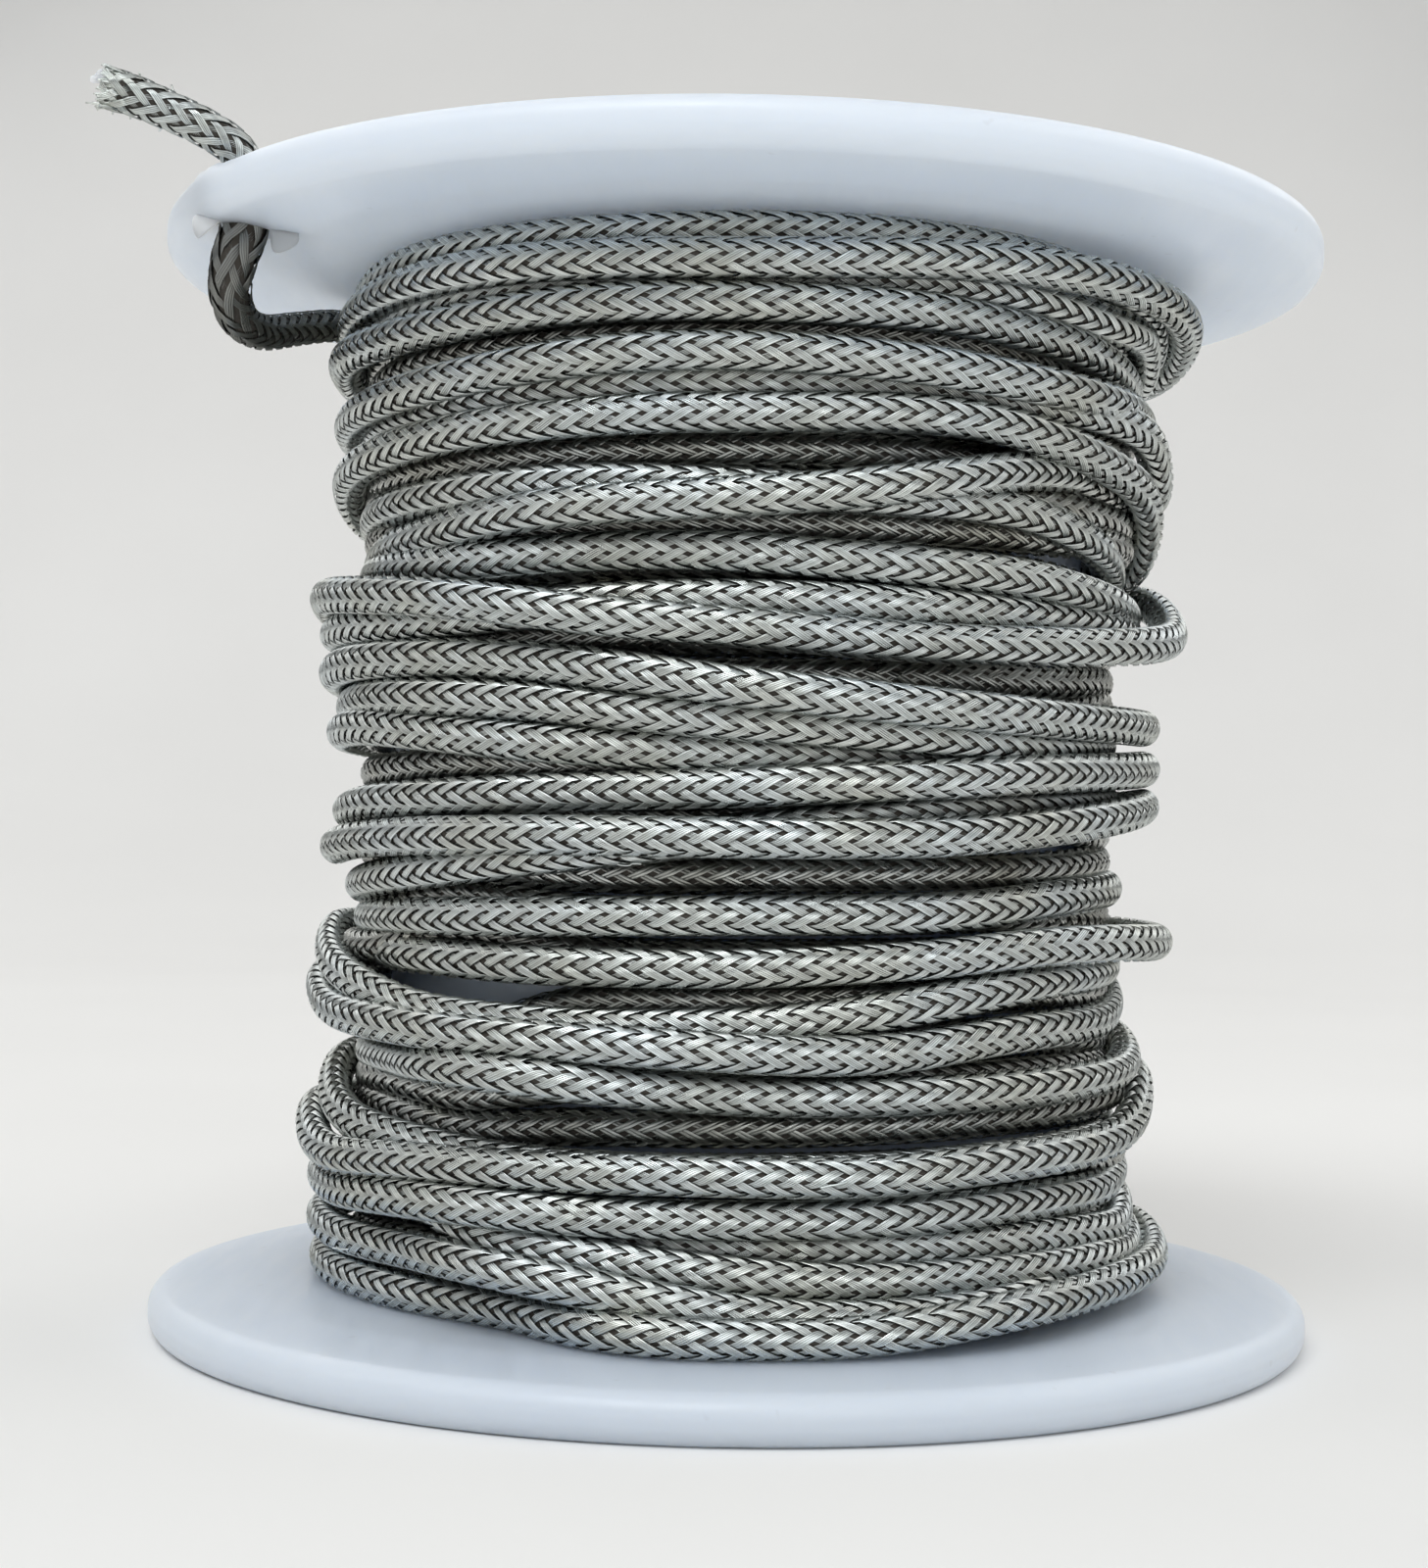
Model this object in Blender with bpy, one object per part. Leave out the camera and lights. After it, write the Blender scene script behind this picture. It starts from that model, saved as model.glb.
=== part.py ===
"""A small plastic spool wound with tubular braid, standing on its lower flange.

The origin is on the spool's axis at the surface it stands on, with +Z up the axis.
The braid's free end leaves the top of the winding on the -X side, rises through a
punched hole in the upper flange and ends bare above it.
"""

import math

import bmesh
import bpy
import numpy as np
from mathutils import Matrix, Vector

MM = 0.001

# Spool
SPOOL_HEIGHT = 60.0 * MM
FLANGE_RADIUS = 31.75 * MM
FLANGE_THICKNESS = 2.85 * MM
RIM_THICKNESS = 2.35 * MM
RIM_FILLET = 0.9 * MM
BORDER_WIDTH = 4.75 * MM
FACE_RECESS_DEPTH = 0.6 * MM
FACE_RECESS_DRAFT = 0.6 * MM
FACE_RING_WIDTH = 5.0 * MM
ARBOR_RADIUS = 8.0 * MM
ARBOR_BOSS_WALL = 2.5 * MM
ARBOR_BOSS_HEIGHT = 4.0 * MM
BARREL_RADIUS = 19.0 * MM
BARREL_WALL = 2.0 * MM
COLLAR_WALL = 2.0 * MM
COLLAR_HEIGHT = 5.0 * MM
CLEARANCE = 0.3 * MM

# Braid
BRAID_DIAMETER = 2.0 * MM
CORE_THICKNESS = 1.8 * MM
POINTS_PER_LOOP = 24
LOOP_SPACING = 0.55 * MM
LOOP_TILT = 0.35 * MM
LOOP_LIFT = 0.6 * MM
LOOP_DRIFT_DEG = 20.0
WINDING_END_DEG = 165.0
LEAST_LOOP_GAP = 0.4 * MM

# Free end of the braid, as points that its middle passes through, in millimetres
LEAD_POINTS = (
    (-22.33, 3.60, 55.86),
    (-23.35, 0.60, 55.45),
    (-24.70, -3.20, 54.50),
    (-25.70, -7.20, 53.55),
    (-26.20, -10.80, 53.45),
    (-26.35, -13.00, 54.40),
    (-26.00, -14.00, 55.90),
    (-25.50, -14.10, 57.40),
    (-25.35, -14.10, 60.00),
    (-25.90, -14.40, 61.40),
    (-27.30, -14.90, 62.30),
    (-29.00, -15.40, 63.00),
    (-30.70, -15.90, 63.60),
    (-32.30, -16.20, 64.00),
)
LEAD_STEP = 1.0 * MM

# Punched hole for the free end, and the tongues torn out beside it
HOLE_INSET = 2.68 * MM
HOLE_ANGLE_DEG = 209.02
HOLE_RADIUS = 1.4 * MM
TONGUE_ROOT = 1.3 * MM
TONGUE_LENGTH = 1.9 * MM
TONGUE_THICKNESS = 0.45 * MM
TONGUE_DROP = 0.9 * MM
TONGUE_EMBED = 0.35 * MM

TURNED_STEPS = 72
FILLET_STEPS = 4
HOLE_SIDES = 16
SHARP_ANGLE = math.radians(35.0)

COLLAR_RADIUS = BARREL_RADIUS - BARREL_WALL - CLEARANCE
LOWER_FACE = FLANGE_THICKNESS
UPPER_FACE = SPOOL_HEIGHT - FLANGE_THICKNESS
CORE_RADIUS = BARREL_RADIUS + CLEARANCE + CORE_THICKNESS
WINDING_RADIUS = CORE_RADIUS + CLEARANCE + BRAID_DIAMETER / 2
WINDING_BOTTOM = LOWER_FACE + CLEARANCE + BRAID_DIAMETER / 2
WINDING_TOP = UPPER_FACE - CLEARANCE - BRAID_DIAMETER / 2
OUTER_LOOPS = int((WINDING_TOP - WINDING_BOTTOM) / (BRAID_DIAMETER + LOOP_SPACING))
HOLE_DISTANCE = FLANGE_RADIUS - HOLE_INSET
HOLE_CENTRE = (
    HOLE_DISTANCE * math.cos(math.radians(HOLE_ANGLE_DEG)),
    HOLE_DISTANCE * math.sin(math.radians(HOLE_ANGLE_DEG)),
)


def clear_scene():
    for obj in list(bpy.data.objects):
        bpy.data.objects.remove(obj)


def principled(name, colour, roughness, metallic=0.0):
    """A material with one Principled BSDF."""
    material = bpy.data.materials.new(name)
    material.use_nodes = True
    shader = material.node_tree.nodes["Principled BSDF"]
    shader.inputs["Base Color"].default_value = (*colour, 1.0)
    shader.inputs["Roughness"].default_value = roughness
    shader.inputs["Metallic"].default_value = metallic
    return material


def link(obj, parent, material):
    bpy.context.scene.collection.objects.link(obj)
    obj.parent = parent
    obj.data.materials.append(material)
    return obj


def arc(centre, radius, start_deg, end_deg):
    """Points of a round corner in a turned profile, both ends included."""
    angles = np.radians(np.linspace(start_deg, end_deg, FILLET_STEPS + 1))
    return [(centre[0] + radius * math.cos(a), centre[1] + radius * math.sin(a)) for a in angles]


def turned(name, profile, parent, material):
    """A closed (radius, height) profile spun about the Z axis."""
    bm = bmesh.new()
    ring = [bm.verts.new((radius, 0.0, height)) for radius, height in profile]
    edges = [bm.edges.new((a, b)) for a, b in zip(ring, ring[1:] + ring[:1])]
    bmesh.ops.spin(
        bm,
        geom=ring + edges,
        cent=(0.0, 0.0, 0.0),
        axis=(0.0, 0.0, 1.0),
        angle=2 * math.pi,
        steps=TURNED_STEPS,
        use_merge=True,
    )
    bmesh.ops.recalc_face_normals(bm, faces=bm.faces[:])
    mesh = bpy.data.meshes.new(name)
    bm.to_mesh(mesh)
    bm.free()
    mesh.shade_smooth()
    mesh.set_sharp_from_angle(angle=SHARP_ANGLE)
    return link(bpy.data.objects.new(name, mesh), parent, material)


def flange_profile():
    """Half section of a flange lying on its outer face, with its inner side up."""
    border = FLANGE_RADIUS - BORDER_WIDTH
    ring = FLANGE_RADIUS - FACE_RING_WIDTH
    hub = ARBOR_RADIUS + ARBOR_BOSS_WALL
    fillet_middle = FLANGE_RADIUS - RIM_FILLET
    return [
        (ARBOR_RADIUS, 0.0),
        (hub, 0.0),
        (hub + FACE_RECESS_DRAFT, FACE_RECESS_DEPTH),
        (ring - FACE_RECESS_DRAFT, FACE_RECESS_DEPTH),
        (ring, 0.0),
        *arc((fillet_middle, RIM_FILLET), RIM_FILLET, -90, 0),
        *arc((fillet_middle, RIM_THICKNESS - RIM_FILLET), RIM_FILLET, 0, 85),
        (border, FLANGE_THICKNESS),
        (COLLAR_RADIUS, FLANGE_THICKNESS),
        (COLLAR_RADIUS, FLANGE_THICKNESS + COLLAR_HEIGHT),
        (COLLAR_RADIUS - COLLAR_WALL, FLANGE_THICKNESS + COLLAR_HEIGHT),
        (COLLAR_RADIUS - COLLAR_WALL, FLANGE_THICKNESS),
        (hub, FLANGE_THICKNESS),
        (hub, FLANGE_THICKNESS + ARBOR_BOSS_HEIGHT),
        (ARBOR_RADIUS, FLANGE_THICKNESS + ARBOR_BOSS_HEIGHT),
    ]


def guide(obj):
    """Marks an object that only shapes another one."""
    bpy.context.scene.collection.objects.link(obj)
    obj.hide_render = True
    obj.display_type = "WIRE"
    return obj


def boolean(target, tool, operation):
    modifier = target.modifiers.new(tool.name, "BOOLEAN")
    modifier.operation = operation
    modifier.solver = "EXACT"
    modifier.object = tool


def hole_cutter():
    """An upright round bar through the upper flange where the braid passes."""
    bm = bmesh.new()
    bmesh.ops.create_cone(
        bm,
        cap_ends=True,
        segments=HOLE_SIDES,
        radius1=HOLE_RADIUS,
        radius2=HOLE_RADIUS,
        depth=4 * FLANGE_THICKNESS,
    )
    mesh = bpy.data.meshes.new("lead_hole_cutter")
    bm.to_mesh(mesh)
    bm.free()
    cutter = guide(bpy.data.objects.new("lead_hole_cutter", mesh))
    cutter.location = (*HOLE_CENTRE, SPOOL_HEIGHT)
    return cutter


def tongue(name, side):
    """A three-cornered flap bent down from the hole's edge, on the side given as -1 or 1."""
    reach = HOLE_RADIUS + CLEARANCE
    border_share = (BORDER_WIDTH - HOLE_INSET) / BORDER_WIDTH
    face = UPPER_FACE + border_share * (FLANGE_THICKNESS - RIM_THICKNESS)
    root = face + TONGUE_EMBED
    half = TONGUE_ROOT / 2
    corners = [
        Vector((side * reach, -half, root)),
        Vector((side * reach, half, root)),
        Vector((side * (reach + TONGUE_LENGTH), 0.0, face - TONGUE_DROP)),
    ]
    thick = Vector((side * TONGUE_THICKNESS, 0.0, TONGUE_THICKNESS))
    bm = bmesh.new()
    lower = [bm.verts.new(c) for c in corners]
    upper = [bm.verts.new(c + thick) for c in corners]
    bm.faces.new(lower)
    bm.faces.new(upper)
    for i in range(3):
        j = (i + 1) % 3
        bm.faces.new((lower[i], lower[j], upper[j], upper[i]))
    bmesh.ops.recalc_face_normals(bm, faces=bm.faces[:])
    mesh = bpy.data.meshes.new(name)
    bm.to_mesh(mesh)
    bm.free()
    flap = guide(bpy.data.objects.new(name, mesh))
    flap.location = (*HOLE_CENTRE, 0.0)
    return flap


def make_flanges(parent, plastic):
    turned("lower_flange", flange_profile(), parent, plastic)
    upper = turned("upper_flange", flange_profile(), parent, plastic)
    upper.data.transform(Matrix.Translation((0, 0, SPOOL_HEIGHT)) @ Matrix.Rotation(math.pi, 4, "X"))
    boolean(upper, tongue("left_tongue", -1), "UNION")
    boolean(upper, tongue("right_tongue", 1), "UNION")
    boolean(upper, hole_cutter(), "DIFFERENCE")


def make_tube_between_flanges(name, inner, outer, parent, material):
    """A plain turned tube that stops a clearance short of both flanges."""
    low = LOWER_FACE + CLEARANCE
    high = UPPER_FACE - CLEARANCE
    turned(name, [(inner, low), (outer, low), (outer, high), (inner, high)], parent, material)


def winding_points():
    """Middle line of the outer turns, from the lower flange up to where the free end starts.

    Each loop is tilted a little and lies a little loose on one side, in a direction that
    drifts from loop to loop. Both fade out at the flanges.
    """
    count = OUTER_LOOPS * POINTS_PER_LOOP
    end = math.radians(WINDING_END_DEG)
    points = []
    for i in range(count + 1):
        share = i / count
        loop = OUTER_LOOPS * share
        angle = end + 2 * math.pi * (loop - OUTER_LOOPS)
        fade = math.sin(math.pi * share)
        drift = math.radians(LOOP_DRIFT_DEG) * loop
        height = WINDING_BOTTOM + (WINDING_TOP - WINDING_BOTTOM) * share
        height += LOOP_TILT * fade * math.sin(angle + drift)
        radius = WINDING_RADIUS + LOOP_LIFT * fade * (1 + math.sin(angle - drift)) / 2
        points.append(Vector((radius * math.cos(angle), radius * math.sin(angle), height)))
    first = (points[0] - points[1]).normalized()
    last = (points[-1] - points[-2]).normalized()
    return [points[0] + first * BRAID_DIAMETER, *points, points[-1] + last * BRAID_DIAMETER]


def least_loop_gap(points):
    """Least gap between the surfaces of two stretches of the winding a half turn or more apart."""
    middle = np.array(points)
    apart = np.linalg.norm(middle[:, None] - middle[None, :], axis=2)
    index = np.arange(len(middle))
    near = np.abs(index[:, None] - index[None, :]) < POINTS_PER_LOOP // 2
    return float(apart[~near].min()) - BRAID_DIAMETER


def smooth_route(points, step):
    """Points about a step apart on a Catmull-Rom curve through the given points."""
    ends = [2 * points[0] - points[1], *points, 2 * points[-1] - points[-2]]
    route = []
    for a, b, c, d in zip(ends, ends[1:], ends[2:], ends[3:]):
        parts = max(1, round((c - b).length / step))
        for t in (k / parts for k in range(parts)):
            route.append(0.5 * (2 * b + (c - a) * t + (2 * a - 5 * b + 4 * c - d) * t**2
                                + (3 * b - a - 3 * c + d) * t**3))
    return [*route, points[-1]]


def cord(name, points, sides_step, parent, material):
    """A round tube along a line of points, closed at both ends."""
    curve = bpy.data.curves.new(name, "CURVE")
    curve.dimensions = "3D"
    curve.bevel_depth = BRAID_DIAMETER / 2
    curve.bevel_resolution = sides_step
    curve.use_fill_caps = True
    spline = curve.splines.new("POLY")
    spline.points.add(len(points) - 1)
    for slot, point in zip(spline.points, points):
        slot.co = (*point, 1.0)
    return link(bpy.data.objects.new(name, curve), parent, material)


def make_braid(parent, metal, dull_metal):
    make_tube_between_flanges("winding_core", BARREL_RADIUS + CLEARANCE, CORE_RADIUS, parent, dull_metal)
    turns = winding_points()
    gap = least_loop_gap(turns)
    print(f"least gap between turns: {gap / MM:.2f} mm, and it has to be over {LEAST_LOOP_GAP / MM:.2f} mm")
    cord("winding_outer_turns", turns, 1, parent, metal)
    lead = smooth_route([Vector(p) * MM for p in LEAD_POINTS], LEAD_STEP)
    cord("braid_lead", lead, 2, parent, metal)


def main():
    clear_scene()
    spool = bpy.data.objects.new("spool", None)
    bpy.context.scene.collection.objects.link(spool)
    plastic = principled("white_plastic", (0.83, 0.86, 0.90), 0.38)
    core_plastic = principled("barrel_plastic", (0.80, 0.83, 0.87), 0.42)
    metal = principled("tinned_braid", (0.52, 0.50, 0.45), 0.34, metallic=1.0)
    dull_metal = principled("tinned_braid_shaded", (0.30, 0.28, 0.25), 0.45, metallic=1.0)
    make_flanges(spool, plastic)
    make_tube_between_flanges("barrel", BARREL_RADIUS - BARREL_WALL, BARREL_RADIUS, spool, core_plastic)
    make_braid(spool, metal, dull_metal)


main()
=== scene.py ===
"""Looks of a plastic spool wound with tubular braid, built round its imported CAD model."""

import math

import bmesh
import bpy
import numpy as np
from mathutils import Matrix, Vector


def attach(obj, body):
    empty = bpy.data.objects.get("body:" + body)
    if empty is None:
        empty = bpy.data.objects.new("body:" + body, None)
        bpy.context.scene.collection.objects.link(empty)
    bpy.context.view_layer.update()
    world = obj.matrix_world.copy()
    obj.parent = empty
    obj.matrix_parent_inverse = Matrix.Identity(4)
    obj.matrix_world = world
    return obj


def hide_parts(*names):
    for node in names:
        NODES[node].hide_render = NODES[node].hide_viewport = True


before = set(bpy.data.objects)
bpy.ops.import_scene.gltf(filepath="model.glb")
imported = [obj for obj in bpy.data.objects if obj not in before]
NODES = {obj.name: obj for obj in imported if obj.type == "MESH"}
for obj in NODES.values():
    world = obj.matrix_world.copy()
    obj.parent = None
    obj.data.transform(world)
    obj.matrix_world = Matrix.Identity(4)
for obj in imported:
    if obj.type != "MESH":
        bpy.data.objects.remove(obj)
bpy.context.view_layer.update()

MM = 0.001

# Camera, as fitted to the two flanges: millimetres, and pixels of the 1457 x 1600 frame
FRAME_SIZE = (1457, 1600)
SENSOR = 36.0
CLIP = (0.01, 20.0)
EYE = np.array((0.0, -146.0, 27.2))
FOCAL = 2650.0
MIDDLE = (750.0, 851.0)
ROLL_DEG = 1.04

# Sizes of the CAD model, in millimetres
SPOOL_HEIGHT = 60.0
FLANGE_RADIUS = 31.75
FLANGE_THICKNESS = 2.85
RIM_THICKNESS = 2.35
BORDER_WIDTH = 4.75
BARREL_RADIUS = 19.0
HOLE = (-25.42, -14.10)
BRAID_RADIUS = 1.0

# Braid: eight carriers each way, four wires in a carrier, two over and two under. LAY is the length of one
# turn of a carrier, WAVE how far it goes in and out, COVER its width as a share of the distance to the next,
# and SPREAD how much wider it is on top. Wound braid is a little flat.
CARRIERS = 8
LAY = 10.2
WIRES = 4
WIRE = 0.10
WAVE = 0.075
COVER = 0.57
SPREAD = 0.05
MID_RADIUS = BRAID_RADIUS - WAVE - WIRE / 2
WOUND_FLAT = (0.97, 1.02)
STEEPNESS = 4.0
# The lining is a dark tube inside the braid, painted shade that stands for its unlit inside
LINING_RADIUS = 0.73
LINING_STEP = 0.7

# Height of the top of a wire, of the valley between two and of a carrier's edge over the carrier's middle
WIRE_RELIEF, VALLEY_RELIEF, EDGE_RELIEF = 0.025, -0.02, -0.025

# How bright a valley and an edge are against a wire's top, both darkened as painted shade, the dullest wire
# against the brightest, a carrier that goes under against one on top, darkened as painted shade, and a loose
# wire. Stretches of a carrier differ by the wear.
VALLEY_PAINTED_SHADE, EDGE_PAINTED_SHADE, DULLEST_TONE, UNDER_PAINTED_SHADE, LOOSE_TONE = 0.58, 0.68, 0.74, 0.68, 0.95
WEAR = 0.08
WEAR_SCATTER = (12.99, 78.2)

# Rows of the braid's mesh: wires that show in a carrier, first row and step in crossings, rows in a piece
OUTER_ROWS = (WIRES, 0.25, 0.5, 720)
INNER_ROWS = (2, 0.0, 1.0, 1440)

# Share of a strip's place on its map that stays empty at each side
MAP_MARGIN = 0.06

# Twist of the wound braid: size and length to a radian of its two waves, and length to a radian of the rest
TWIST_WAVES = ((0.9, 61.0), (1.3, 143.0))
TWIST_RUN = 90.0

# Wires that have come out of the braid: how many, their least distance from it, their length, where they
# start round it and how far they turn, in radians, and how far they lift
STRAY_WIRES = 9
STRAY_GAP = 0.01
STRAY_LENGTH = (1.0, 2.5)
STRAY_SIDE = (-1.0, 1.1)
STRAY_TURN = (-0.5, 0.5)
STRAY_LIFT = (0.03, 0.16)

# Sides of a loose wire, and a direction that none of them runs along
WIRE_SIDES = 5
NO_WIRE = np.array((0.31, 0.47, 0.83))

# Colours of the braid: bright and dull metal of the outer turns, a darker copy of it for the inner turns
# that paints their shade under the outer turns, the painted shade between wires, how dark a fleck is, the
# dark linings that paint the shade in the hollow of the turns and of the free end, and the glancing light
# that the end keeps
TIN = ((0.92, 0.985, 0.99), (0.83, 0.855, 0.79))
INNER_TIN_PAINTED_SHADE = ((0.74, 0.77, 0.75), (0.52, 0.52, 0.46))
BETWEEN_WIRES_PAINTED_SHADE = (0.075, 0.069, 0.061)
FLECK_SHADE = 0.62
HOLLOW_PAINTED_SHADE = ((0.075, 0.067, 0.058), (0.115, 0.103, 0.090))
END_HOLLOW_PAINTED_SHADE = ((0.055, 0.050, 0.044), (0.085, 0.076, 0.066))
END_EDGE = 0.3

# Winding. CONTACT is how near the middles of two turns come where one is laid on the other. A turn starts
# out at OUTER_REST. Where its edge in the photograph is past EDGE_LEAST, it is drawn to that edge, over
# EDGE_REACH_DEG. Smoothing and reach along a turn are in samples, which are a degree apart.
CONTACT = 1.88
PER_TURN = 360
HEIGHT_SMOOTHING = 5.0
INNER_SMOOTHING = 12.0
REST_SMOOTHING = 6.0
REST_REACH = 4
RADIUS_SMOOTHING = 4.0
RISE_SMOOTHING = 3.0
BACK_SMOOTHING = 15.0
BACK_WIDTH_DEG = 32.0
BACK_DEG = 90.0
FRONT_DEG = 270.0
INNER_RADIUS = BARREL_RADIUS + 0.97
OUTER_REST = 21.8
EDGE_LEAST = 20.6
EDGE_REACH_DEG = 62.0
LAYING_PASSES = 3
SIGHT_PASSES = 6
LEAST_HEIGHT = FLANGE_THICKNESS + 0.98
HEIGHTS = (LEAST_HEIGHT, SPOOL_HEIGHT - LEAST_HEIGHT)
START_RUN_DEG = 50

# At the back, where each turn passes into the next: the gap between the middles of turns, how far to each
# side of the back they keep it and where they start to part, how often they push, and the smoothing
BACK_GAP = 1.70
BACK_KEEP_DEG = 25.0
BACK_PART_DEG = 75.0
BACK_PUSHES = 2000
BACK_EASE = 10.0

# Where the inner turns part so that the barrel shows: angle and height, how far they part, and over what
# angle and height
BARREL_SHOWS = (228.0, 18.9, 1.95, 14.5, 5.0)

# The same for an outer turn that sinks between inner turns at an edge, and how deep it must lie to do so
SINK_PART = (1.1, 24.0, 2.4)
SINK_LEAST = 0.7

# Free end of the braid: points that its middle passes through, in millimetres
LEAD_POINTS = (
    (-22.33, 3.60, 55.86), (-23.35, 0.60, 55.45), (-24.70, -3.20, 54.50), (-25.70, -7.20, 53.55),
    (-26.20, -10.80, 53.45), (-26.35, -13.00, 54.40), (-26.00, -14.00, 55.90), (-25.50, -14.10, 57.40),
    (-25.35, -14.10, 60.00), (-25.90, -14.40, 61.40), (-27.30, -14.90, 62.30), (-29.00, -15.40, 63.00),
    (-30.70, -15.90, 63.60), (-32.30, -16.20, 64.00),
)

# Looks of the free end at shares of its length: its width against the wound braid, the lay, the width of the
# carriers against those of the wound braid, and how bright the metal is, darkened as painted shade where the
# end runs under the flange and into the hole
LEAD_SHARE = (0.0, 0.10, 0.28, 0.42, 0.52, 0.60, 0.66, 0.71, 0.76, 0.88, 0.96, 1.0)
LEAD_WIDTH = (0.98, 0.95, 0.98, 1.02, 1.10, 1.24, 1.31, 1.25, 1.02, 1.02, 1.08, 1.14)
LEAD_LAY = (10.5, 10.5, 10.5, 10.8, 11.4, 12.2, 12.4, 11.6, 10.0, 9.0, 8.4, 7.8)
LEAD_COVER = (1.05, 1.05, 1.05, 1.03, 1.0, 0.96, 0.94, 0.96, 1.0, 1.0, 0.95, 0.9)
LEAD_PAINTED_SHADE = (0.62, 0.50, 0.40, 0.34, 0.30, 0.29, 0.32, 0.46, 0.9, 1.0, 1.0, 1.0)

# Mesh of the free end: step of its route, samples of its lay, the direction that counts as outward, twist at
# the start and to a millimetre, and its lining, a dark tube of painted shade inside it: size, step, sides,
# and how far it stops before the cut
LEAD_STEP = 0.25
LEAD_COUNTS = 400
LEAD_OUTWARD = np.array((0.35, -1.0, 0.2))
LEAD_TWIST = (0.55, 0.02)
LEAD_LINING = 0.82
LEAD_LINING_STEP = 0.5
LEAD_LINING_SIDES = 16
LEAD_MOUTH = 0.9

# Wires at the cut: where they start, in rows from the end, how much they keep to the braid and to its axis,
# their length, which share is longer and by how much, how they bend, and the steps that give the axis
FRAY_ROWS = (-7, -3)
FRAY_WAY = (0.5, 0.6)
FRAY_LENGTH = (0.10, 0.50)
LONG_SHARE = 0.12
LONG_LENGTH = (0.2, 0.5)
FRAY_BEND = (-0.15, 0.30)
FRAY_SCATTER = 0.10
TIP_STEPS = 5

# Hairs beside the cut: how many, where they start, in rows from the end, their length, and how they run
HAIRS = 8
HAIR_ROWS = (5, 16)
HAIR_SPAN = 3
HAIR_LENGTH = (0.3, 0.8)
HAIR_WAY, HAIR_OUT = 0.5, 0.35
HAIR_SCATTER = 0.2

# Scrap in the mouth of the cut: half its sizes, its place from the tip, and its lumps
SCRAP_SIZE = np.array((0.52, 0.36, 0.27))
SCRAP_PLACE = np.array((0.02, -0.15, 0.40))
SCRAP_WAVES = 7
SCRAP_RIPPLE = 4.0
SCRAP_LUMP = 0.65

# Heights of the inner turns where they pass the front, in millimetres
INNER_FRONT = (
    4.4, 6.5, 8.6, 10.75, 12.9, 15.05, 17.1, 19.1, 21.15, 23.2, 25.2, 27.9, 30.7, 32.9,
    34.9, 36.8, 38.7, 40.5, 42.3, 44.1, 45.9, 47.7, 49.6, 51.6, 53.7, 55.8,
)

# Inner turns that are slack at an edge: number from the bottom, angle, and how far they stand out
INNER_LOOSE = (
    (3, 180.0, 1.2), (7, 180.0, 1.1), (8, 180.0, 1.1),
    (3, 360.0, 1.2), (4, 360.0, 1.2), (18, 352.0, 1.0), (19, 352.0, 1.0), (20, 352.0, 1.0),
    (21, 352.0, 1.0), (24, 356.0, 1.0),
)

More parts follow.
